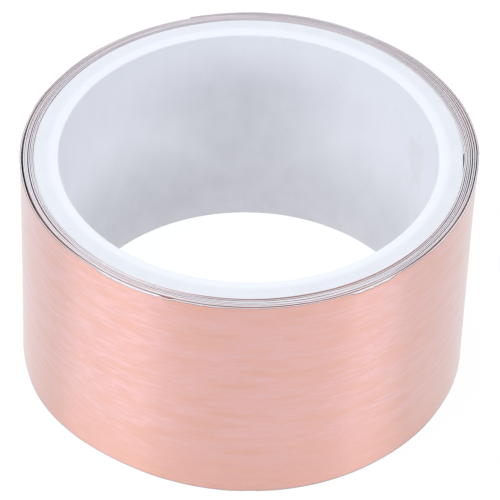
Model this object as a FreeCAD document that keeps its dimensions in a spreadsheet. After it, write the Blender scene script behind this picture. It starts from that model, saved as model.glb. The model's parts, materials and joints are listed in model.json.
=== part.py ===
import FreeCAD, Part

# A roll of copper foil tape: a white plastic core with a continuous strip wound on it.
# The strip is a laminate of three layers. From the core outwards they are a paper
# release liner, a film of adhesive and the copper foil.
#
# Frame: +Z along the core's axis, origin at the centre of the base, millimetres, degrees.
#
# The strip runs outwards counter-clockwise, seen from +Z. Its spiral is made of half-turn
# arcs. The arcs on the +Y side are centred a quarter of the pitch to -X and those on the
# -Y side a quarter of the pitch to +X, so each half turn meets the next one tangentially
# and stands half a pitch further out.
#
# The last part of the strip, its tail, lifts off the roll. It is divided into short spans,
# each hinged to the one before it along a vertical line on the strip's outer surface. At
# the very end the liner goes on past the foil as a bare tab.

import math
import os

import Sketcher
from FreeCAD import Placement, Rotation, Vector

# name, value, what it is
DIMENSIONS = [
    ("bore_radius", 38.1, "core bore, 3 inches across"),
    ("core_radius", 42.9, "outside of the core"),
    ("tape_width", 50.8, "strip width and core length, 2 inches"),
    ("bevel_width", 1.9, "radial width of the shallow bevel at each mouth of the bore"),
    ("bevel_depth", 0.25, "axial depth of that bevel"),
    ("start_tape_thickness", 0.10, "double-sided tape that holds the strip's start"),
    ("start_tape_gap", 0.02, "clearance from that tape to the first turn"),
    ("start_tape_angle", 30.0, "arc of the core that the start tape covers"),
    ("start_tape_inset", 2.4, "start tape's distance from each end of the core"),
    ("liner_thickness", 0.12, "release liner"),
    ("adhesive_thickness", 0.04, "adhesive film"),
    ("foil_thickness", 0.07, "copper foil"),
    ("strip_pitch", 0.30, "radial growth of the strip in one turn"),
    ("turn_count", 8, "whole turns before the one that holds the tail"),
    ("tail_start_angle", 22.5, "where the tail leaves the wound strip"),
    ("tail_span_angle", 10.0, "arc of one span of the tail"),
    ("tail_span_count", 6, "spans that carry the whole laminate"),
    ("tab_span_angle", 8.0, "arc of one span of the bare liner tab"),
    ("tab_span_count", 3, "spans of the liner tab"),
    ("span_gap_angle", 0.03, "slit between two spans"),
]

# layer: (inner face, outer face), as distances from the strip's inner surface
LAYERS = {
    "liner": ("0", "Dimensions.liner_thickness"),
    "adhesive": (
        "Dimensions.liner_thickness",
        "Dimensions.liner_thickness + Dimensions.adhesive_thickness",
    ),
    "foil": (
        "Dimensions.liner_thickness + Dimensions.adhesive_thickness",
        "Dimensions.liner_thickness + Dimensions.adhesive_thickness + Dimensions.foil_thickness",
    ),
}

# radius of the strip's inner surface where the spiral starts, on the +X axis
START_RADIUS = "Dimensions.core_radius + Dimensions.start_tape_thickness + Dimensions.start_tape_gap"

# the tail lies on a +Y half turn: its arc centre, and the radius of its inner surface
TAIL_CENTRE_X = "-Dimensions.strip_pitch / 4"
TAIL_RADIUS = START_RADIUS + " + Dimensions.strip_pitch * (Dimensions.turn_count + 0.25)"

PLANE_ROLES = {"XY": "XY_Plane", "XZ": "XZ_Plane"}


def make_sheet(doc):
    """The driving dimensions, one aliased cell each."""
    sheet = doc.addObject("Spreadsheet::Sheet", "Dimensions")
    for row, (name, value, note) in enumerate(DIMENSIONS, start=1):
        sheet.set(f"A{row}", name)
        sheet.set(f"B{row}", str(value))
        sheet.set(f"C{row}", note)
        sheet.setAlias(f"B{row}", name)
    doc.recompute()
    return sheet


def new_body(doc, label):
    body = doc.addObject("PartDesign::Body", label)
    body.Label = label
    return body


def new_sketch(body, name, plane):
    """A sketch on one of the body's own origin planes."""
    sketch = body.newObject("Sketcher::SketchObject", name)
    role = PLANE_ROLES[plane]
    origin_plane = next(f for f in body.Origin.OriginFeatures if f.Role == role)
    sketch.AttachmentSupport = [(origin_plane, "")]
    sketch.MapMode = "FlatFace"
    return sketch


def bind(sketch, index, name, expression):
    """Names a constraint and ties its value to the sheet."""
    sketch.renameConstraint(index, name)
    sketch.setExpression(f"Constraints.{name}", expression)


def tie(sketch, direction, line, end, name, expression):
    """Ties the distance of a line's end from the sketch's origin, along one direction."""
    start_size = 1.0
    index = sketch.addConstraint(Sketcher.Constraint(direction, -1, 1, line, end, start_size))
    bind(sketch, index, name, expression)


def make_core(doc):
    """The plastic core: a tube whose bore has a shallow bevel at each mouth."""
    body = new_body(doc, "core")
    sketch = new_sketch(body, "core_section", "XZ")
    sheet = doc.Dimensions
    bevel_radius = sheet.bore_radius + sheet.bevel_width
    corners = [
        Vector(bevel_radius, 0, 0),
        Vector(sheet.core_radius, 0, 0),
        Vector(sheet.core_radius, sheet.tape_width, 0),
        Vector(bevel_radius, sheet.tape_width, 0),
        Vector(sheet.bore_radius, sheet.tape_width - sheet.bevel_depth, 0),
        Vector(sheet.bore_radius, sheet.bevel_depth, 0),
    ]
    following = corners[1:] + corners[:1]
    for start, end in zip(corners, following):
        sketch.addGeometry(Part.LineSegment(start, end), False)
    base, outside, top, top_bevel, bore, _ = lines = range(len(corners))
    for line in lines:
        after = (line + 1) % len(corners)
        sketch.addConstraint(Sketcher.Constraint("Coincident", line, 2, after, 1))
    for line in (base, top):
        sketch.addConstraint(Sketcher.Constraint("Horizontal", line))
    for line in (outside, bore):
        sketch.addConstraint(Sketcher.Constraint("Vertical", line))
    # the base line lies on the X axis
    sketch.addConstraint(Sketcher.Constraint("PointOnObject", base, 1, -1))
    mouth = "Dimensions.bore_radius + Dimensions.bevel_width"
    wall_top = "Dimensions.tape_width - Dimensions.bevel_depth"
    tie(sketch, "DistanceX", base, 1, "base_mouth", mouth)
    tie(sketch, "DistanceX", top_bevel, 1, "top_mouth", mouth)
    tie(sketch, "DistanceX", top, 1, "outer_radius", "Dimensions.core_radius")
    tie(sketch, "DistanceY", top, 1, "length", "Dimensions.tape_width")
    tie(sketch, "DistanceX", bore, 1, "bore_radius", "Dimensions.bore_radius")
    tie(sketch, "DistanceY", bore, 1, "wall_top", wall_top)
    tie(sketch, "DistanceY", bore, 2, "wall_base", "Dimensions.bevel_depth")

    turned = body.newObject("PartDesign::Revolution", "core_turned")
    turned.Profile = sketch
    turned.ReferenceAxis = (sketch, ["V_Axis"])
    turned.Angle = 360.0
    return body


def make_arc_plate(doc, label, inner_radius, outer_radius, sweep, length, placement):
    """A curved plate: a sector of a ring, from the X axis round by sweep, extruded along Z.

    The sizes are expressions. placement maps a property of the body's Placement to the
    expression that sets it.
    """
    body = new_body(doc, label)
    sketch = new_sketch(body, label + "_section", "XY")
    rough_radius, rough_sweep = 45.0, math.radians(10.0)
    circle = Part.Circle(Vector(0, 0, 0), Vector(0, 0, 1), rough_radius)
    inner = sketch.addGeometry(Part.ArcOfCircle(circle, 0, rough_sweep), False)
    circle = Part.Circle(Vector(0, 0, 0), Vector(0, 0, 1), rough_radius + 1)
    outer = sketch.addGeometry(Part.ArcOfCircle(circle, 0, rough_sweep), False)
    near = Vector(rough_radius, 0, 0)
    far = Vector(rough_radius + 1, 0, 0)
    root = sketch.addGeometry(Part.LineSegment(near, far), False)
    turn = Rotation(Vector(0, 0, 1), math.degrees(rough_sweep))
    tip_line = Part.LineSegment(turn.multVec(near), turn.multVec(far))
    tip = sketch.addGeometry(tip_line, False)
    for arc in (inner, outer):
        sketch.addConstraint(Sketcher.Constraint("Coincident", arc, 3, -1, 1))
    for arc, line_end in ((inner, 1), (outer, 2)):
        sketch.addConstraint(Sketcher.Constraint("Coincident", arc, 1, root, line_end))
        sketch.addConstraint(Sketcher.Constraint("Coincident", arc, 2, tip, line_end))
    sketch.addConstraint(Sketcher.Constraint("Horizontal", root))
    sketch.addConstraint(Sketcher.Constraint("PointOnObject", -1, 1, tip))
    sketch.addConstraint(Sketcher.Constraint("PointOnObject", root, 1, -1))
    inner_size = sketch.addConstraint(Sketcher.Constraint("Radius", inner, rough_radius))
    bind(sketch, inner_size, "inner_radius", inner_radius)
    outer_size = sketch.addConstraint(Sketcher.Constraint("Radius", outer, rough_radius + 1))
    bind(sketch, outer_size, "outer_radius", outer_radius)
    opening = sketch.addConstraint(Sketcher.Constraint("Angle", root, 1, tip, 1, rough_sweep))
    bind(sketch, opening, "sweep", sweep)

    plate = body.newObject("PartDesign::Pad", label + "_plate")
    plate.Profile = sketch
    plate.setExpression("Length", length)
    body.Placement = Placement(Vector(0, 0, 0), Rotation(Vector(0, 0, 1), 1.0))
    for path, expression in placement.items():
        body.setExpression(f"Placement.{path}", expression)
    return body


def make_start_tape(doc):
    """The short double-sided tape between the core and the strip's first turn."""
    return make_arc_plate(
        doc,
        "start_tape",
        "Dimensions.core_radius",
        "Dimensions.core_radius + Dimensions.start_tape_thickness",
        "Dimensions.start_tape_angle",
        "Dimensions.tape_width - 2 * Dimensions.start_tape_inset",
        {"Base.z": "Dimensions.start_tape_inset", "Rotation.Angle": "0"},
    )


def spiral_arcs(sheet, offset, start, end):
    """The strip's arcs from angle start to angle end, measured along its turns in degrees.

    offset is the distance outwards from the strip's inner surface.
    """
    start_radius = sheet.core_radius + sheet.start_tape_thickness + sheet.start_tape_gap
    quarter = sheet.strip_pitch / 4
    edges = []
    angle = start
    while angle < end:
        half_turn = int(angle // 180)
        stop = min(end, 180 * (half_turn + 1))
        centre = Vector(quarter if half_turn % 2 else -quarter, 0, 0)
        radius = start_radius + quarter * (1 + 2 * half_turn) + offset
        circle = Part.Circle(centre, Vector(0, 0, 1), radius)
        first, last = math.radians(angle % 360), math.radians(angle % 360 + stop - angle)
        edges.append(Part.Arc(circle, first, last).toShape())
        angle = stop
    return edges


def make_winding(doc, label, layer, start, end):
    """One layer of the wound strip from angle start to angle end, as one curved sheet."""
    sheet = doc.Dimensions
    inner_offset, outer_offset = (
        float(sheet.evalExpression(expression)) for expression in LAYERS[layer]
    )
    inner = spiral_arcs(sheet, inner_offset, start, end)
    outer = spiral_arcs(sheet, outer_offset, start, end)
    root = Part.makeLine(inner[0].firstVertex().Point, outer[0].firstVertex().Point)
    tip = Part.makeLine(inner[-1].lastVertex().Point, outer[-1].lastVertex().Point)
    outline = Part.Wire(Part.__sortEdges__([root] + outer + [tip] + inner))
    winding = doc.addObject("Part::Feature", label)
    winding.Label = label
    winding.Shape = Part.Face(outline).extrude(Vector(0, 0, sheet.tape_width))
    winding.Placement = Placement()
    return winding


def make_windings(doc):
    """The wound strip. The foil's outermost turn is apart from its inner turns."""
    sheet = doc.Dimensions
    end = 360 * sheet.turn_count + sheet.tail_start_angle - sheet.span_gap_angle / 2
    last_turn = 360 * (sheet.turn_count - 1) + sheet.tail_start_angle
    return [
        make_winding(doc, "liner_winding", "liner", 0, end),
        make_winding(doc, "adhesive_winding", "adhesive", 0, end),
        make_winding(doc, "foil_inner_turns", "foil", 0, last_turn),
        make_winding(doc, "foil_outer_turn", "foil", last_turn, end),
    ]


def make_span(doc, label, layer, start, sweep):
    """One layer of one span of the tail or of the tab."""
    inner_offset, outer_offset = LAYERS[layer]
    return make_arc_plate(
        doc,
        label,
        f"{TAIL_RADIUS} + {inner_offset}",
        f"{TAIL_RADIUS} + {outer_offset}",
        f"{sweep} - Dimensions.span_gap_angle",
        "Dimensions.tape_width",
        {
            "Base.x": TAIL_CENTRE_X,
            "Rotation.Angle": f"{start} + Dimensions.span_gap_angle / 2",
        },
    )


def make_tail(doc):
    """The spans of the tail, with all three layers, and of the bare liner tab."""
    sheet = doc.Dimensions
    tail_start = "Dimensions.tail_start_angle"
    sweep = "Dimensions.tail_span_angle"
    spans = []
    for number in range(1, int(sheet.tail_span_count) + 1):
        start = f"{tail_start} + {number - 1} * {sweep}"
        for layer in LAYERS:
            spans.append(make_span(doc, f"{layer}_tail_{number}", layer, start, sweep))
    tab_start = f"{tail_start} + Dimensions.tail_span_count * {sweep}"
    sweep = "Dimensions.tab_span_angle"
    for number in range(1, int(sheet.tab_span_count) + 1):
        start = f"{tab_start} + {number - 1} * {sweep}"
        spans.append(make_span(doc, f"liner_tab_{number}", "liner", start, sweep))
    return spans


def check(doc, pieces):
    """Stops if any object failed or any piece isn't one valid solid."""
    for item in doc.Objects:
        if {"Invalid", "Error"} & set(item.State):
            raise RuntimeError(f"{item.Label} is {item.State}")
    for piece in pieces:
        shape = piece.Shape
        if shape.isNull() or not shape.isValid() or len(shape.Solids) != 1:
            raise RuntimeError(f"{piece.Label} isn't one valid solid")


def main():
    doc = FreeCAD.newDocument("copper_foil_tape_roll")
    make_sheet(doc)
    pieces = [make_core(doc), make_start_tape(doc)] + make_windings(doc) + make_tail(doc)
    doc.recompute()
    check(doc, pieces)
    os.makedirs("parts", exist_ok=True)
    for piece in pieces:
        piece.Shape.exportStep(f"parts/{piece.Label}.step")
        print(f"{piece.Label}: {piece.Shape.Volume:.2f} mm3")


main()
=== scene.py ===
import json
import math

import bpy
import numpy as np
from mathutils import Matrix, Vector


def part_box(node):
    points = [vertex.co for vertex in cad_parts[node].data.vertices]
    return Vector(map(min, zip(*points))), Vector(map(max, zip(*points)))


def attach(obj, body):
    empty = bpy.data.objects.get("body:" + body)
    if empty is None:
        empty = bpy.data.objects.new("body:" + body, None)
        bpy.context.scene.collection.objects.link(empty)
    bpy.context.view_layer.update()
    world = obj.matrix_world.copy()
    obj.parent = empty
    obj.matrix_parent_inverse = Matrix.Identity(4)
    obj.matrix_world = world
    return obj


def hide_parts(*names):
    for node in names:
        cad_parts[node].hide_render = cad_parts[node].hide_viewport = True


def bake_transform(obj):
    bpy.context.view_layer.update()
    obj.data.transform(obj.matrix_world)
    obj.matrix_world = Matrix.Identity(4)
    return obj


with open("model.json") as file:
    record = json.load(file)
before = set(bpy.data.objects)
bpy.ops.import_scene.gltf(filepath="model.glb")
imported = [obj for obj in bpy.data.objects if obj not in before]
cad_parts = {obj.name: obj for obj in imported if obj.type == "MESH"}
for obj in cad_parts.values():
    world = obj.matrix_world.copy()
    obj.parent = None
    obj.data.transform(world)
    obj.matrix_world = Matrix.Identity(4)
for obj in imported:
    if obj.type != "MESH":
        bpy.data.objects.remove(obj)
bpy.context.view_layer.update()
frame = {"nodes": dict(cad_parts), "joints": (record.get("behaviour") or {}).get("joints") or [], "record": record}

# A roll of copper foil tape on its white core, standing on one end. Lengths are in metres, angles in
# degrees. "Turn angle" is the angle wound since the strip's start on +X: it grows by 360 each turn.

MM = 0.001


# ------------------------------------------------------------------ sizes, from the frame
def joint_angle(name):
    """Where a joint's axis stands round the roll, in degrees from +X."""
    x, y, _ = next(j["pos_m"] for j in frame["joints"] if j["name"] == name)
    return round(math.degrees(math.atan2(y, x)), 1)


def mount_size(name, size):
    return next(m["dims"][size] for m in frame["record"]["mounts"] if m["name"] == name)


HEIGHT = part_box("core")[1].z
CORE_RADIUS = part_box("core")[1].x
BORE_RADIUS = mount_size("core_bore", "r_mm") * MM
BEVEL_WIDTH = 1.9 * MM
BEVEL_DEPTH = 0.25 * MM

# the liner is 0.02 mm thicker than in CAD, and the air between the turns is thinner to match
LINER = 0.14 * MM
ADHESIVE = 0.04 * MM
FOIL = 0.07 * MM
STRIP = LINER + ADHESIVE + FOIL
AIR = 0.062 * MM
STRIP_START = CORE_RADIUS + 0.012 * MM  # off the start tape the liner lies on the core
TAPE_RISE = 0.108 * MM  # how much further out it lies over the start tape
TAPE_END = 30
# where each layer lies, outwards from the strip's inner face
LINER_BAND = (0.0, LINER)
ADHESIVE_BAND = (LINER, LINER + ADHESIVE)
FOIL_BAND = (LINER + ADHESIVE, STRIP)

FULL_TURNS = 8
TAIL_JOINTS = [joint_angle("tail_unroll")] + [joint_angle(f"tail_bend_{i}") for i in range(2, 7)]
TAB_JOINTS = [joint_angle("tab_lift")] + [joint_angle(f"tab_bend_{i}") for i in (2, 3)]
TAIL_SPAN = TAIL_JOINTS[1] - TAIL_JOINTS[0]
TAB_SPAN = TAB_JOINTS[1] - TAB_JOINTS[0]
TAB_END = TAB_JOINTS[-1] + TAB_SPAN
TAIL_TURN = FULL_TURNS * 360  # the turn angle at azimuth 0 of the tail's own turn
OUTER_TURN = FULL_TURNS - 1  # the turn that is outermost over most of the roll, counted from 0
WOUND_END = TAIL_TURN + TAIL_JOINTS[0] - TAIL_SPAN / 2  # the first blend starts half a span early
INNER_END = TAIL_TURN - 360 + TAIL_JOINTS[0]  # the inner turns end where the outer turn starts

STEP = 0.5  # degrees from one column of strip points to the next
INNER_STRIDE = 3  # the inner turns use every third column


# ------------------------------------------------------------------ smooth variation
def wobble(values, wavelength, seed):
    """Smooth seeded variation, mostly within -1 to 1, in features about a wavelength long."""
    draw = np.random.default_rng(seed)
    total = np.zeros_like(values, dtype=float)
    for _ in range(6):
        length = wavelength * draw.uniform(0.6, 1.7)
        total += np.sin(2 * math.pi * values / length + draw.uniform(0, 2 * math.pi))
    return total / 3


def ease(values):
    """0 below 0, 1 above 1, and a smooth step between."""
    t = np.clip(values, 0, 1)
    return t * t * (3 - 2 * t)


def window(angles, start, end, fade):
    """1 from start to end, fading smoothly to 0 over fade degrees outside them."""
    return ease((angles - start) / fade + 1) * ease((end - angles) / fade + 1)


def on_turn(angles, turn, start, end, fade):
    """The same between two azimuths of one turn."""
    return window(angles, turn * 360 + start, turn * 360 + end, fade)


# ------------------------------------------------------------------ how the strip lies
# gaps that stand open: (turn, azimuths from, to, fade, extra air)
OPEN_GAPS = (
    (7, 165, 208, 42, 0.28 * MM),
    (7, 250, 285, 20, 0.06 * MM),
    (4, 172, 208, 22, 0.12 * MM),
    (2, 95, 140, 30, 0.04 * MM),
    (6, 20, 75, 25, 0.09 * MM),
    (3, 25, 60, 25, 0.05 * MM),
    (7, 318, 345, 14, 0.13 * MM),
    (5, 322, 352, 16, 0.07 * MM),
    (6, 50, 140, 25, 0.09 * MM),
    (3, 75, 150, 25, 0.08 * MM),
)
# azimuths where the turns are pulled tight: (from, to, fade, air taken from every gap). A fade isn't
# carried on past azimuth 360, so the one that ends there leaves a faint step up the roll at azimuth 0.
TIGHT_STRETCHES = (
    (160, 225, 35, 0.028 * MM),
    (320, 350, 20, 0.020 * MM),
    (25, 70, 25, 0.012 * MM),
    (62, 140, 20, 0.050 * MM),
)
LEAST_AIR = 0.010 * MM
AIR_VARIATION = 0.75
AIR_WAVELENGTH = 95
HUG_END = 0.972  # the share of a turn that the strip's start lies flat on the core before it climbs
TAPE_FADE = 25  # degrees in which the first turn comes down off the start tape


def air_gaps(angles):
    """The air under the strip at each turn angle."""
    air = AIR * (1 + AIR_VARIATION * wobble(angles, AIR_WAVELENGTH, seed=3))
    azimuth = angles % 360
    for start, end, fade, taken in TIGHT_STRETCHES:
        air -= taken * window(azimuth, start, end, fade)
    for turn, start, end, fade, extra in OPEN_GAPS:
        air += extra * on_turn(angles, turn, start, end, fade)
    return np.maximum(air, LEAST_AIR)


def wind_strip():
    """The radius of the strip's inner face at every column, each turn lying on the one below."""
    per_turn = round(360 / STEP)
    count = round((TAIL_TURN + TAB_END) / STEP) + 1
    air = air_gaps(np.arange(count) * STEP)
    radius = np.empty(count)
    climb = STRIP + air[per_turn] + TAPE_RISE
    first_turn = np.arange(per_turn) * STEP
    radius[:per_turn] = STRIP_START + climb * first_turn / 360
    radius[:per_turn] += TAPE_RISE * (1 - ease((first_turn - TAPE_END) / TAPE_FADE))
    for i in range(per_turn, count):
        radius[i] = radius[i - per_turn] + STRIP + air[i]
    angles = np.arange(count) * STEP
    share = angles % 360 / 360
    slack = climb * (share - ease((share - HUG_END) / (1 - HUG_END)))
    return radius - slack * np.clip(1 - angles / TAIL_TURN, 0, 1)


WINDING = wind_strip()

# The outer turn has come loose at its lower left and leans outwards towards the base.
LEAN = 1.8 * MM
LEAN_STRETCH = (180, 198, 55)  # azimuths from, to, and the fade
LEAN_POWER = 1.15  # above 1, the lean grows faster towards the base
# The turns splay at the top near azimuth 12: (turn, how far).
SPLAYED_TURNS = ((5, 0.05 * MM), (6, 0.13 * MM), (7, 0.24 * MM), (8, 0.42 * MM))
SPLAY_STRETCH = (8, 16, 26)
SPLAY_DEPTH = 13 * MM
# Past the start tape's edges the first turns lean back in to the core.
TAPE_DIP = 0.085 * MM
TAPE_INSET = 2.4 * MM
TAPE_DIP_STRETCH = (-3, TAPE_END + 3, 22)
# The end of the tail stands a little off the roll, and the tab's end less so.
END_LIFT = 0.12 * MM
END_LIFT_FROM, END_LIFT_RISE = 52, 32
TAB_DROP, TAB_DROP_FROM, TAB_DROP_FALL = 0.35, 84, 24
# A nick where the top edge of the outer turn is pushed out.
NICK_STRETCH = (250.0, 251.3, 1.6)
NICK_OUT = 0.30 * MM
NICK_DEPTH = 1.0 * MM
# The outer turn's slight ripple, stronger along its edges.
RIPPLE_WAVELENGTH = 21
RIPPLE_SLANT = 900  # degrees that the ripple shifts for each metre up the strip
RIPPLE_FADE = 20  # degrees before the outer turn in which the ripple grows
RIPPLE = 0.012 * MM
EDGE_RIPPLE = 0.045 * MM
EDGE_RIPPLE_DEPTH = 1.6 * MM
BOTTOM_RIPPLE = 0.6  # the bottom edge's ripple as a share of the top edge's


def near_top(heights, depth):
    """1 at the top edge, falling smoothly to 0 at depth below it."""
    return ease(1 - (HEIGHT - heights) / depth)


def near_bottom(heights, depth):
    return ease(1 - heights / depth)


def outward(angles, heights):
    """How far the strip stands out from its wound radius."""
    lean = on_turn(angles, OUTER_TURN, *LEAN_STRETCH) * (1 - heights / HEIGHT)
    out = LEAN * lean ** LEAN_POWER
    for turn, reach in SPLAYED_TURNS:
        out = out + reach * on_turn(angles, turn, *SPLAY_STRETCH) * near_top(heights, SPLAY_DEPTH)
    lift = ease((angles - TAIL_TURN - END_LIFT_FROM) / END_LIFT_RISE)
    drop = TAB_DROP * ease((angles - TAIL_TURN - TAB_DROP_FROM) / TAB_DROP_FALL)
    out = out + END_LIFT * lift * (1 - drop)
    past_tape = near_top(heights, TAPE_INSET) + near_bottom(heights, TAPE_INSET)
    over_tape = window((angles + 180) % 360 - 180, *TAPE_DIP_STRETCH)
    out = out - TAPE_DIP * over_tape * past_tape * np.clip(1 - angles / TAIL_TURN, 0, 1)
    out = out + NICK_OUT * near_top(heights, NICK_DEPTH) * on_turn(angles, OUTER_TURN, *NICK_STRETCH)
    on_outer = ease((angles - INNER_END) / RIPPLE_FADE + 1)
    ripple = wobble(angles + heights * RIPPLE_SLANT, RIPPLE_WAVELENGTH, seed=8)
    ripple = 0.5 + 0.5 * np.clip(ripple, -1, 1)
    edge = near_top(heights, EDGE_RIPPLE_DEPTH)
    edge = edge + BOTTOM_RIPPLE * near_bottom(heights, EDGE_RIPPLE_DEPTH)
    return out + on_outer * ripple * (RIPPLE + EDGE_RIPPLE * edge)


# where the foil's top edge is worn down below the liner's on the outer turn:
# (azimuths from, to, fade, depth)
WORN_EDGES = (
    (233.0, 247.5, 3.0, 0.42 * MM),
    (252.0, 262.0, 4.0, 0.14 * MM),
    (297.5, 306.5, 2.5, 0.48 * MM),
    (322.0, 336.0, 5.0, 0.20 * MM),
)
# a short notch in the foil's bottom edge on the outer turn
NOTCH_STRETCH = (270.6, 272, 0.8)
NOTCH_DEPTH = 0.28 * MM
RAGGED = 0.25  # how much the depth of a worn edge varies


def strip_edges(angles):
    """The heights of the strip's bottom and top edges: the turns don't end quite level."""
    bottom = (0.05 + 0.045 * np.clip(wobble(angles, 260, seed=5), -1, 1)) * MM
    top = HEIGHT + (0.11 * wobble(angles, 310, seed=6) + 0.035 * wobble(angles, 30, seed=7)) * MM
    return bottom, top


def foil_edges(angles):
    """The same for the foil and its adhesive, whose top edge is worn in places."""
    bottom, top = strip_edges(angles)
    ragged = 1 + RAGGED * wobble(angles, 2.2, seed=11)
    top = top - 0.02 * MM * (1 + wobble(angles, 9, seed=12))
    for start, end, fade, depth in WORN_EDGES:
        top = top - depth * ragged * on_turn(angles, OUTER_TURN, start, end, fade)
    bottom = bottom + 0.02 * MM * (1 + np.clip(wobble(angles, 12, seed=13), -1, 1))
    bottom = bottom + NOTCH_DEPTH * on_turn(angles, OUTER_TURN, *NOTCH_STRETCH)
    return bottom, top


# ------------------------------------------------------------------ strip meshes
FINE_ROWS = 0.5 - 0.5 * np.cos(np.linspace(0, math.pi, 27))  # close together near both edges
PLAIN_ROWS = np.array([0, 0.01, 0.05, 0.2, 0.5, 0.75, 0.86, 0.93, 0.97, 0.99, 1.0])
SHARP_ANGLE = 40  # faces that meet at more than this keep a hard edge between them
STRIP_MAP = "strip_mm"  # millimetres along the strip and up it, for the materials
TOP_MM = HEIGHT / MM


def face_points(columns, heights, offset):
    """Points on the strip's face that lies offset outwards from its inner face."""
    angles = columns[:, None] * STEP
    radius = WINDING[columns][:, None] + offset + outward(angles, heights)
    turned = np.radians(angles)
    return np.stack([radius * np.cos(turned), radius * np.sin(turned), heights], axis=-1)


def grid_faces(columns, rows, first, flipped):
    """Quads over a grid of points numbered row by row within each column."""
    i, j = np.meshgrid(np.arange(columns - 1), np.arange(rows - 1), indexing="ij")
    corner = (first + i * rows + j).ravel()
    quads = np.stack([corner, corner + rows, corner + rows + 1, corner + 1], axis=-1)
    return quads[:, ::-1] if flipped else quads


def rim_faces(columns, rows):
    """Quads that close the strip's inner grid to its outer one, along both edges and both ends."""
    second = columns * rows
    along = np.arange(columns - 1) * rows
    up = np.arange(rows - 1)
    bottom = np.stack([along, along + rows, along + rows + second, along + second], axis=-1)
    top = (bottom + rows - 1)[:, ::-1]
    start = np.stack([up, up + second, up + 1 + second, up + 1], axis=-1)
    end = (start + (columns - 1) * rows)[:, ::-1]
    return [bottom, top, start, end]


def length_along(angles):
    """How far along the strip a turn angle is, by the winding's middle radius."""
    return np.radians(angles) * (CORE_RADIUS + STRIP * FULL_TURNS / 2)


def strip_piece(name, start, end, band, edges, material, stride=1, rows=FINE_ROWS):
    """One layer of the strip as a closed solid, from one turn angle to another."""
    columns = np.arange(round(start / STEP), round(end / STEP) + 1, stride)
    bottom, top = edges(columns * STEP)
    heights = bottom[:, None] + (top - bottom)[:, None] * rows[None, :]
    inner = face_points(columns, heights, band[0])
    outer = face_points(columns, heights, band[1])
    count = (len(columns), len(rows))
    faces = [grid_faces(*count, 0, True), grid_faces(*count, len(columns) * len(rows), False)]
    faces = np.concatenate(faces + rim_faces(*count))
    points = np.concatenate([inner.reshape(-1, 3), outer.reshape(-1, 3)])
    mesh = bpy.data.meshes.new(name)
    mesh.from_pydata(points.tolist(), [], faces.tolist())
    run = np.repeat(length_along(columns * STEP) / MM, len(rows))
    flat = np.stack([run, heights.ravel() / MM], axis=-1)
    corners = np.empty(len(mesh.loops), dtype=np.int32)
    mesh.loops.foreach_get("vertex_index", corners)
    layer = mesh.uv_layers.new(name=STRIP_MAP)
    layer.data.foreach_set("uv", np.concatenate([flat, flat])[corners].astype(np.float32).ravel())
    mesh.shade_smooth()
    mesh.set_sharp_from_angle(angle=math.radians(SHARP_ANGLE))
    mesh.materials.append(material)
    piece = bpy.data.objects.new(name, mesh)
    bpy.context.scene.collection.objects.link(piece)
    return piece


# ------------------------------------------------------------------ material helpers
def features(along, up):
    """The scale of noise whose features are about this many millimetres along and up the strip."""
    return (1 / along, 1 / up, 1)


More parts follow.
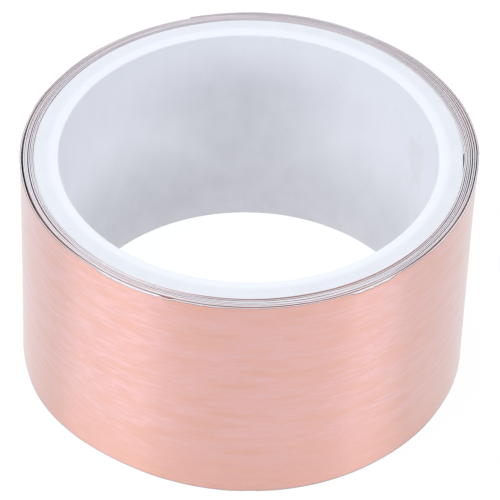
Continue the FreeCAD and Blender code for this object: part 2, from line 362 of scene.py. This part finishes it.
class Nodes:
    """Builds one material's node tree."""

    def __init__(self, name):
        self.material = bpy.data.materials.new(name)
        self.material.use_nodes = True
        self.tree = self.material.node_tree
        self.shader = self.tree.nodes["Principled BSDF"]

    def link(self, source, target):
        self.tree.links.new(source, target)

    def new(self, kind, **settings):
        node = self.tree.nodes.new(kind)
        for key, value in settings.items():
            setattr(node, key, value)
        return node

    def stretch(self, source, scale):
        node = self.new("ShaderNodeMapping")
        node.inputs["Scale"].default_value = scale
        self.link(source, node.inputs["Vector"])
        return node.outputs["Vector"]

    def noise(self, source, scale, detail=3.0, roughness=0.55, size=1.0):
        """Noise from 0 to 1 over source, each of whose axes is scaled first and then all by size."""
        node = self.new("ShaderNodeTexNoise")
        node.inputs["Scale"].default_value = size
        node.inputs["Detail"].default_value = detail
        node.inputs["Roughness"].default_value = roughness
        self.link(self.stretch(source, scale), node.inputs["Vector"])
        return node.outputs["Fac"]

    def remap(self, source, low, high, to_low=0.0, to_high=1.0):
        """A smooth step from to_low, where source is low or less, to to_high."""
        node = self.new("ShaderNodeMapRange", interpolation_type="SMOOTHSTEP")
        node.inputs["From Min"].default_value = low
        node.inputs["From Max"].default_value = high
        node.inputs["To Min"].default_value = to_low
        node.inputs["To Max"].default_value = to_high
        self.link(source, node.inputs["Value"])
        return node.outputs["Result"]

    def math(self, operation, first, second=0.0):
        node = self.new("ShaderNodeMath", operation=operation)
        for socket, value in zip(node.inputs, (first, second)):
            if isinstance(value, (int, float)):
                socket.default_value = value
            else:
                self.link(value, socket)
        return node.outputs["Value"]

    def mix(self, factor, first, second):
        """A colour from first, where factor is 0, to second, where it is 1."""
        node = self.new("ShaderNodeMix", data_type="RGBA")
        self.link(factor, node.inputs["Factor"])
        for index, value in ((6, first), (7, second)):  # the mix node's two colour sockets
            if isinstance(value, tuple):
                node.inputs[index].default_value = (*value, 1)
            else:
                self.link(value, node.inputs[index])
        return node.outputs[2]

    def bump(self, height, distance, strength=1.0, after=None):
        node = self.new("ShaderNodeBump")
        node.inputs["Distance"].default_value = distance
        node.inputs["Strength"].default_value = strength
        self.link(height, node.inputs["Height"])
        if after is not None:
            self.link(after, node.inputs["Normal"])
        return node.outputs["Normal"]

    def set(self, **values):
        """Sets the shader's own sockets: underscores in a name stand for spaces."""
        for key, value in values.items():
            self.shader.inputs[key.replace("_", " ")].default_value = value

    def strip_map(self):
        return self.new("ShaderNodeUVMap", uv_map=STRIP_MAP).outputs["UV"]

    def object_space(self):
        return self.new("ShaderNodeTexCoord").outputs["Object"]

    def on_edges(self):
        """1 on the strip's top and bottom edges and 0 on its faces."""
        _, _, upright = self.axes(self.new("ShaderNodeTexCoord").outputs["Normal"])
        return self.remap(self.math("ABSOLUTE", upright), 0.5, 0.9)

    def back_half(self, most):
        """0 on the side of the roll towards -Y, growing to most on the other side."""
        return self.remap(self.axes(self.object_space())["Y"], -10 * MM, 35 * MM, 0, most)

    def shaded_between_turns(self, turn_end):
        """1 on the strip's faces deep between the turns, as far along the strip as a turn angle: where painted
        shade darkens them.
        """
        run, height, _ = self.axes(self.strip_map())
        last = float(length_along(turn_end)) / MM
        wound = self.remap(run, last - 5, last, 1, 0)
        below_edge = self.remap(height, TOP_MM - 1.6, TOP_MM - 0.5, 1, 0)
        return self.math("MULTIPLY", wound, below_edge)

    def shade_and_soiling(self):
        """Where the strip's cut edges are darkened, in long stretches and mostly towards +Y: partly painted shade,
        for the gaps between the turns and the roll's far side, and partly darkened cut edges. 1 is darkest."""
        stretches = self.noise(self.strip_map(), features(60, 200), detail=1)
        return self.remap(self.math("ADD", stretches, self.back_half(0.12)), 0.46, 0.56)

    def axes(self, source):
        node = self.new("ShaderNodeSeparateXYZ")
        self.link(source, node.inputs["Vector"])
        return node.outputs


# ------------------------------------------------------------------ materials
def copper_material():
    """Satin rolled copper: fine lines along the strip, rosy and orange patches, a little waviness."""
    rosy, pale, orange = (0.935, 0.49, 0.435), (0.995, 0.575, 0.545), (0.94, 0.468, 0.35)
    painted_contact_shadow = (0.50, 0.40, 0.42)
    between_turns_shade = (0.42, 0.30, 0.31)
    lit_edge, shaded_soiled_edge = (0.86, 0.69, 0.71), (0.26, 0.18, 0.21)
    glancing_tint = (0.52, 0.88, 1.0, 1)  # the tint of what the foil reflects at a glancing angle
    n = Nodes("copper_foil")
    flat = n.strip_map()
    streaks = n.noise(flat, features(4.5, 0.7), detail=4, roughness=0.65)
    patches = n.noise(flat, features(12, 2.6), detail=4, roughness=0.6)
    rolling = n.noise(flat, features(9, 0.10), detail=2)
    colour = n.mix(n.remap(streaks, 0.38, 0.62), rosy, pale)
    colour = n.mix(n.math("MULTIPLY", n.remap(patches, 0.42, 0.66), 0.7), colour, orange)
    height = n.axes(flat)["Y"]
    base_glow = n.remap(height, 0, 17, 0.55, 0)
    top_glow = n.remap(height, TOP_MM - 2.5, TOP_MM, 0, 0.5)
    colour = n.mix(n.math("ADD", base_glow, top_glow), colour, orange)
    # painted contact shadow: the foil's bottom 0.25 to 0.65 mm is darkened to grey where it meets the floor
    colour = n.mix(n.remap(height, 0.25, 0.65, 0.75, 0), colour, painted_contact_shadow)
    # painted shade on the foil's faces deep between the turns
    colour = n.mix(n.shaded_between_turns(INNER_END), colour, between_turns_shade)
    # the foil's cut edges, darkened in stretches by painted shade and soiling
    colour = n.mix(n.on_edges(), colour, n.mix(n.shade_and_soiling(), lit_edge, shaded_soiled_edge))
    n.link(colour, n.shader.inputs["Base Color"])
    n.link(n.remap(streaks, 0.3, 0.7, 0.34, 0.42), n.shader.inputs["Roughness"])
    n.set(Metallic=1.0, Anisotropic=1.0, Anisotropic_Rotation=0.25)
    n.set(Coat_Weight=1.0, Coat_Roughness=0.25, Coat_IOR=1.7)
    n.set(Specular_Tint=glancing_tint)
    tangent = n.new("ShaderNodeTangent", direction_type="RADIAL", axis="Z")
    n.link(tangent.outputs["Tangent"], n.shader.inputs["Tangent"])
    waves = n.noise(flat, features(8, 2.6), detail=2)
    wrinkles = n.noise(flat, features(2.4, 1.1), detail=3)
    normal = None
    for relief, depth in ((waves, 0.02), (wrinkles, 0.006), (streaks, 0.011), (rolling, 0.0008)):
        normal = n.bump(relief, depth * MM, after=normal)
    n.link(normal, n.shader.inputs["Normal"])
    return n.material


def liner_material():
    """White silicone-coated release paper with a faint fibre."""
    white, whiter, warm = (0.81, 0.805, 0.85), (0.85, 0.845, 0.885), (0.80, 0.785, 0.81)
    between_turns_shade = (0.42, 0.38, 0.41)
    lit_edge, far_side_shaded_edge = (0.96, 0.955, 0.99), (0.62, 0.55, 0.59)
    n = Nodes("release_liner")
    flat = n.strip_map()
    fibre = n.noise(flat, features(0.8, 0.5), detail=4)
    cloud = n.noise(flat, features(9, 7), detail=2)
    colour = n.mix(n.remap(fibre, 0.3, 0.7), white, whiter)
    colour = n.mix(n.math("MULTIPLY", n.remap(cloud, 0.45, 0.7), 0.4), colour, warm)
    # painted shade on the liner's faces deep between the turns
    colour = n.mix(n.shaded_between_turns(WOUND_END), colour, between_turns_shade)
    # painted highlight: the liner's upward-facing cut edges and a strip along its top are painted near white where
    # light falls on them
    top_edge_highlight = n.remap(n.axes(flat)["Y"], TOP_MM - 1.4, TOP_MM - 0.6)
    colour = n.mix(n.math("MAXIMUM", n.on_edges(), top_edge_highlight), colour, lit_edge)
    # painted shade: the liner's cut edges greyer towards +Y, the roll's far side
    colour = n.mix(n.math("MULTIPLY", n.on_edges(), n.back_half(0.6)), colour, far_side_shaded_edge)
    n.link(colour, n.shader.inputs["Base Color"])
    n.link(n.remap(cloud, 0.3, 0.7, 0.36, 0.48), n.shader.inputs["Roughness"])
    n.link(n.bump(fibre, 0.004 * MM), n.shader.inputs["Normal"])
    return n.material


def adhesive_material():
    """Clear acrylic adhesive, which looks warm grey against the foil."""
    grey, pale_grey, shaded_soiled = (0.70, 0.63, 0.66), (0.78, 0.71, 0.74), (0.30, 0.23, 0.26)
    n = Nodes("adhesive")
    grain = n.noise(n.strip_map(), features(1.6, 1.1), detail=3)
    colour = n.mix(n.remap(grain, 0.35, 0.65), grey, pale_grey)
    # the adhesive's cut edges, darkened in the same stretches by painted shade and soiling
    colour = n.mix(n.math("MULTIPLY", n.on_edges(), n.shade_and_soiling()), colour, shaded_soiled)
    n.link(colour, n.shader.inputs["Base Color"])
    n.link(n.remap(grain, 0.3, 0.7, 0.22, 0.34), n.shader.inputs["Roughness"])
    n.link(n.bump(grain, 0.006 * MM), n.shader.inputs["Normal"])
    return n.material


# The middle of a faint smudge on the bore's wall. The smudge is taller than it is wide, so heights
# are squeezed before distances from its middle are measured.
SMUDGE_AZIMUTH = math.radians(24)
SMUDGE_SQUEEZE = 0.6
SMUDGE = (
    BORE_RADIUS * math.cos(SMUDGE_AZIMUTH),
    BORE_RADIUS * math.sin(SMUDGE_AZIMUTH),
    0.43 * HEIGHT,  # squeezed: it is at 0.72 of the height
)


def core_material():
    """White moulded plastic, faintly mottled, with tiny specks, a brighter bevel, and on the bore's
    wall draw lines, a faint smudge, a lighter white as painted light, and painted shade where less light reaches
    it."""
    white, whiter = (0.835, 0.835, 0.885), (0.86, 0.86, 0.91)
    lit_wall, shaded_wall, shaded_wall_2 = (0.93, 0.93, 0.975), (0.60, 0.60, 0.635), (0.64, 0.64, 0.675)
    bevel, smudged, speck = (0.925, 0.925, 0.985), (0.74, 0.715, 0.70), (0.45, 0.44, 0.44)
    even = (1, 1, 1)
    n = Nodes("core_plastic")
    place = n.object_space()
    x, y, z = n.axes(place)
    reach = n.math("SQRT", n.math("ADD", n.math("MULTIPLY", x, x), n.math("MULTIPLY", y, y)))
    mottle = n.noise(place, even, detail=4, size=1 / (6 * MM))
    draw_lines = n.noise(place, (1, 1, 0.06), detail=3, size=1 / (1.4 * MM))
    specks = n.noise(place, even, detail=1, size=1 / (0.45 * MM))
    mottled = n.remap(mottle, 0.35, 0.65)

    # painted shade on the bore's wall, where less light reaches it: near x = 0 it fades out only towards the top,
    # and elsewhere lower down
    upper = n.remap(z, HEIGHT * 0.66, HEIGHT * 0.98, 0.70, 0)
    lower = n.remap(z, HEIGHT * 0.1, HEIGHT * 0.66, 0.2, 0)
    off_middle = n.math("ABSOLUTE", n.math("ADD", x, 1 * MM))
    by_middle = n.remap(off_middle, 0, 32 * MM, 1, 0.05)
    by_middle = n.math("MULTIPLY", n.math("ADD", upper, lower), by_middle)
    less_to_right = n.remap(x, -20 * MM, 30 * MM, 1, 0.8)
    low_down = n.math("MULTIPLY", n.remap(z, HEIGHT * 0.1, HEIGHT * 0.75, 1, 0), less_to_right)
    cloudy = n.noise(place, (1, 1, 0.35), detail=4, roughness=0.6, size=1 / (5 * MM))
    cloudy = n.remap(cloudy, 0.3, 0.7, -0.045, 0.045)
    painted_shade = n.math("ADD", n.math("MAXIMUM", by_middle, low_down), cloudy)

    off_wall = n.remap(reach, BORE_RADIUS + 0.08 * MM, BORE_RADIUS + 0.3 * MM)
    on_wall = n.math("SUBTRACT", 1.0, off_wall)
    # painted light: the bore's wall gets a lighter white than the end face, which painted shade then darkens
    colour = n.mix(on_wall, n.mix(mottled, white, whiter), lit_wall)
    shaded_colour = n.mix(mottled, shaded_wall, shaded_wall_2)
    colour = n.mix(n.math("MULTIPLY", on_wall, painted_shade), colour, shaded_colour)
    bevel_end = BORE_RADIUS + BEVEL_WIDTH
    on_bevel = n.remap(reach, bevel_end - 0.6 * MM, bevel_end + 0.9 * MM, 1, 0)
    colour = n.mix(n.math("MULTIPLY", on_bevel, off_wall), colour, bevel)
    smudge = n.new("ShaderNodeVectorMath", operation="DISTANCE")
    n.link(n.stretch(place, (1, 1, SMUDGE_SQUEEZE)), smudge.inputs[0])
    smudge.inputs[1].default_value = SMUDGE
    ragged = n.noise(place, even, detail=3, size=1 / (4 * MM))
    ragged = n.remap(ragged, 0.3, 0.7, -2 * MM, 2 * MM)
    faint = n.remap(n.math("ADD", smudge.outputs["Value"], ragged), 1.5 * MM, 5.5 * MM, 0.3, 0)
    colour = n.mix(faint, colour, smudged)
    colour = n.mix(n.remap(specks, 0.785, 0.82), colour, speck)
    n.link(colour, n.shader.inputs["Base Color"])
    n.link(n.remap(mottle, 0.3, 0.7, 0.40, 0.50), n.shader.inputs["Roughness"])
    normal = n.bump(draw_lines, 0.012 * MM)
    normal = n.bump(mottle, 0.02 * MM, after=normal)
    n.link(normal, n.shader.inputs["Normal"])
    return n.material


def start_tape_material():
    """Thin double-sided tissue tape."""
    n = Nodes("start_tape")
    place = n.object_space()
    tissue = n.noise(place, (1, 1, 1), detail=5, size=1 / (0.5 * MM))
    colour = n.mix(n.remap(tissue, 0.35, 0.65), (0.80, 0.77, 0.70), (0.88, 0.86, 0.80))
    n.link(colour, n.shader.inputs["Base Color"])
    n.link(n.remap(tissue, 0.3, 0.7, 0.45, 0.65), n.shader.inputs["Roughness"])
    n.link(n.bump(tissue, 0.01 * MM), n.shader.inputs["Normal"])
    return n.material


def floor_material():
    """A plain pale table that glows a little as well, so that it stays even under the roll."""
    n = Nodes("floor")
    n.set(Base_Color=(0.16, 0.16, 0.16, 1), Roughness=0.9, Specular_IOR_Level=0.0)
    n.set(Emission_Color=(0.985, 0.99, 1.0, 1), Emission_Strength=0.90)
    n.material.cycles.emission_sampling = "NONE"
    return n.material


# ------------------------------------------------------------------ the core
CORE_SEGMENTS = 384


def rounded_outline(corners, radii, steps=6, support=0.06 * MM):
    """The closed outline through corners, each rounded by its own radius in steps, with a point at
    support's distance on each side of every round, so that the flats stay flat when shaded."""
    outline = []
    for i, (corner, radius) in enumerate(zip(corners, radii)):
        here = Vector(corner)
        before = (Vector(corners[i - 1]) - here).normalized()
        after = (Vector(corners[(i + 1) % len(corners)]) - here).normalized()
        half = before.angle(after) / 2
        reach = radius / math.tan(half)
        centre = here + (before + after).normalized() * (radius / math.sin(half))
        first = here + before * reach - centre
        last = here + after * reach - centre
        outline.append(here + before * (reach + support))
        for k in range(steps + 1):
            outline.append(centre + first.slerp(last, k / steps) * radius)
        outline.append(here + after * (reach + support))
    return outline


def core_piece(material):
    """The core, turned about Z: a tube with rounded ends and a shallow bevel at each mouth."""
    mouth = BORE_RADIUS + BEVEL_WIDTH
    rim, soft, lip = 0.06 * MM, 12 * MM, 0.30 * MM  # the roundings: outside, bevel to end, bore
    corners = [
        (CORE_RADIUS, 0), (CORE_RADIUS, HEIGHT), (mouth, HEIGHT), (BORE_RADIUS, HEIGHT - BEVEL_DEPTH),
        (BORE_RADIUS, BEVEL_DEPTH), (mouth, 0),
    ]
    outline = rounded_outline(corners, [rim, rim, soft, lip, lip, soft])
    points = []
    for i in range(CORE_SEGMENTS):
        turn = 2 * math.pi * i / CORE_SEGMENTS
        for radius, height in outline:
            points.append((radius * math.cos(turn), radius * math.sin(turn), height))
    size = len(outline)
    faces = []
    for i in range(CORE_SEGMENTS):
        here, there = i * size, (i + 1) % CORE_SEGMENTS * size
        for j in range(size):
            k = (j + 1) % size
            faces.append((here + j, there + j, there + k, here + k))
    mesh = bpy.data.meshes.new("core_look")
    mesh.from_pydata(points, [], faces)
    mesh.shade_smooth()
    mesh.materials.append(material)
    piece = bpy.data.objects.new("core_look", mesh)
    bpy.context.scene.collection.objects.link(piece)
    return piece


# ------------------------------------------------------------------ build the object
def place_on_strip(angle):
    """The middle of the strip at an azimuth of the tail's turn."""
    column = np.array([round((TAIL_TURN + angle) / STEP)])
    return face_points(column, np.array([[HEIGHT / 2]]), STRIP / 2)[0, 0].tolist()


def build_core():
    core = core_piece(core_material())
    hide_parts("core")
    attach(core, "roll")
    tape = frame["nodes"]["start_tape"]
    tape.data.materials.clear()
    tape.data.materials.append(start_tape_material())


def build_winding(layer, band, edges, material, inner_node, outer_node):
    """The wound part of one layer: its inner turns and its outer turn."""
    inner_name, outer_name = f"{layer}_inner_turns_look", f"{layer}_outer_turn_look"
    inner = strip_piece(
        inner_name, 0, INNER_END, band, edges, material, stride=INNER_STRIDE, rows=PLAIN_ROWS)
    outer = strip_piece(outer_name, INNER_END, WOUND_END, band, edges, material)
    for piece, node in ((inner, inner_node), (outer, outer_node)):
        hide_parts(node)
        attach(piece, "roll")


def build_tail(layer, band, edges, material, with_tab):
    """The layer's tail, one piece across each joint, and on the liner the bare tab."""
    bodies = ["roll"] + [f"tail_{i}" for i in range(1, 7)]
    joints = list(TAIL_JOINTS)
    nodes = [f"{layer}_tail_{i}" for i in range(1, 7)]
    if with_tab:
        bodies += [f"tab_{i}" for i in range(1, 4)]
        joints += TAB_JOINTS
        nodes += [f"{layer}_tab_{i}" for i in range(1, 4)]
    halves = [(TAB_SPAN if angle in TAB_JOINTS else TAIL_SPAN) / 2 for angle in joints]
    starts = [angle - half for angle, half in zip(joints, halves)]
    last = TAB_END if with_tab else TAB_JOINTS[0]
    for i, (angle, half) in enumerate(zip(joints, halves)):
        end = starts[i + 1] if i + 1 < len(joints) else last
        name = f"{layer}_bend_{i + 1}_look"
        piece = strip_piece(name, TAIL_TURN + starts[i], TAIL_TURN + end, band, edges, material)
        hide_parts(nodes[i])
        # the strip's middle is found either side of each joint, from the tab's hinge itself, where the foil over
        # the liner ends; the points are not used
        before = 0 if angle == TAB_JOINTS[0] else half
        place_on_strip(angle - before)
        place_on_strip(angle + half)
        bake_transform(piece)


def build_strip():
    copper, adhesive, liner = copper_material(), adhesive_material(), liner_material()
    build_winding(
        "foil", FOIL_BAND, foil_edges, copper, "foil_inner_turns", "foil_outer_turn")
    build_winding(
        "adhesive", ADHESIVE_BAND, foil_edges, adhesive, "adhesive_winding", "adhesive_winding")
    build_winding(
        "liner", LINER_BAND, strip_edges, liner, "liner_winding", "liner_winding")
    build_tail("foil", FOIL_BAND, foil_edges, copper, False)
    build_tail("adhesive", ADHESIVE_BAND, foil_edges, adhesive, False)
    build_tail("liner", LINER_BAND, strip_edges, liner, True)


# ------------------------------------------------------------------ studio
FLOOR_SIZE = 40.0
# (name, azimuth, elevation, distance, size, power, colour)
SOFTBOXES = (
    ("softbox_left", -62, 12, 0.75, (0.52, 0.9), 1.17, (0.70, 0.90, 1.0)),
    ("softbox_right", 57, 12, 0.75, (0.32, 0.9), 0.77, (0.70, 0.90, 1.0)),
    ("softbox_back_left", -125, 12, 0.75, (0.8, 0.9), 0.3, (0.74, 0.91, 1.0)),
    ("softbox_back", 180, 15, 0.75, (0.35, 0.9), 0.8, (0.88, 0.95, 1.0)),
    ("softbox_high_left", -72, 58, 0.8, (0.5, 0.5), 1.6, (1, 1, 1)),
    ("softbox_high_right", 58, 58, 0.8, (0.5, 0.5), 0.7, (1, 1, 1)),
    ("softbox_top", 180, 78, 0.9, (0.7, 0.7), 0.9, (1, 1, 1)),
)


def build_floor():
    half = FLOOR_SIZE / 2
    corners = [(-half, -half, 0), (half, -half, 0), (half, half, 0), (-half, half, 0)]
    mesh = bpy.data.meshes.new("floor")
    mesh.from_pydata(corners, [], [(0, 1, 2, 3)])
    mesh.materials.append(floor_material())
    floor = bpy.data.objects.new("floor", mesh)
    bpy.context.scene.collection.objects.link(floor)


def softbox(name, azimuth, elevation, distance, size, power, colour):
    """A rectangular area light aimed at the roll. Azimuth 0 is the camera's side, 90 to its right."""
    light = bpy.data.lights.new(name, "AREA")
    light.shape = "RECTANGLE"
    light.size, light.size_y = size
    light.energy = power
    light.color = colour
    lamp = bpy.data.objects.new(name, light)
    turn, rise = math.radians(azimuth), math.radians(elevation)
    back = Vector((math.sin(turn) * math.cos(rise), -math.cos(turn) * math.cos(rise), math.sin(rise)))
    lamp.location = Vector((0, 0, HEIGHT / 2)) + back * distance
    lamp.rotation_euler = back.to_track_quat("Z", "Y").to_euler()
    bpy.context.scene.collection.objects.link(lamp)


def build_lights():
    world = bpy.data.worlds.new("studio")
    world.use_nodes = True
    background = world.node_tree.nodes["Background"]
    background.inputs["Color"].default_value = (0.935, 0.967, 1.0, 1)
    background.inputs["Strength"].default_value = 0.54
    bpy.context.scene.world = world
    for settings in SOFTBOXES:
        softbox(*settings)


# The camera, at the photograph's viewing angle.
CAMERA_ELEVATION = 42.5
CAMERA_ROLL = 0.78
CAMERA_DISTANCE = 0.5465
CAMERA_LENS = 184  # the focal length in mm on a sensor 36 mm wide
CAMERA_AIM = (0.0005, 0.0119, HEIGHT / 2 - 0.01245)


def build_camera():
    elevation = math.radians(CAMERA_ELEVATION)
    camera = bpy.data.objects.new("camera", bpy.data.cameras.new("camera"))
    camera.data.sensor_width = 36
    camera.data.lens = CAMERA_LENS
    back = Vector((0, -math.cos(elevation), math.sin(elevation)))
    camera.location = Vector(CAMERA_AIM) + back * CAMERA_DISTANCE
    turn = Matrix.Rotation(math.pi / 2 - elevation, 4, "X")
    turn = turn @ Matrix.Rotation(math.radians(CAMERA_ROLL), 4, "Z")
    camera.rotation_euler = turn.to_euler()
    camera.data.clip_start = 0.01
    bpy.context.scene.collection.objects.link(camera)
    bpy.context.scene.camera = camera


def build_scene():
    build_core()
    build_strip()
    build_floor()
    build_lights()
    build_camera()
    bpy.context.scene.view_settings.view_transform = "Standard"


build_scene()
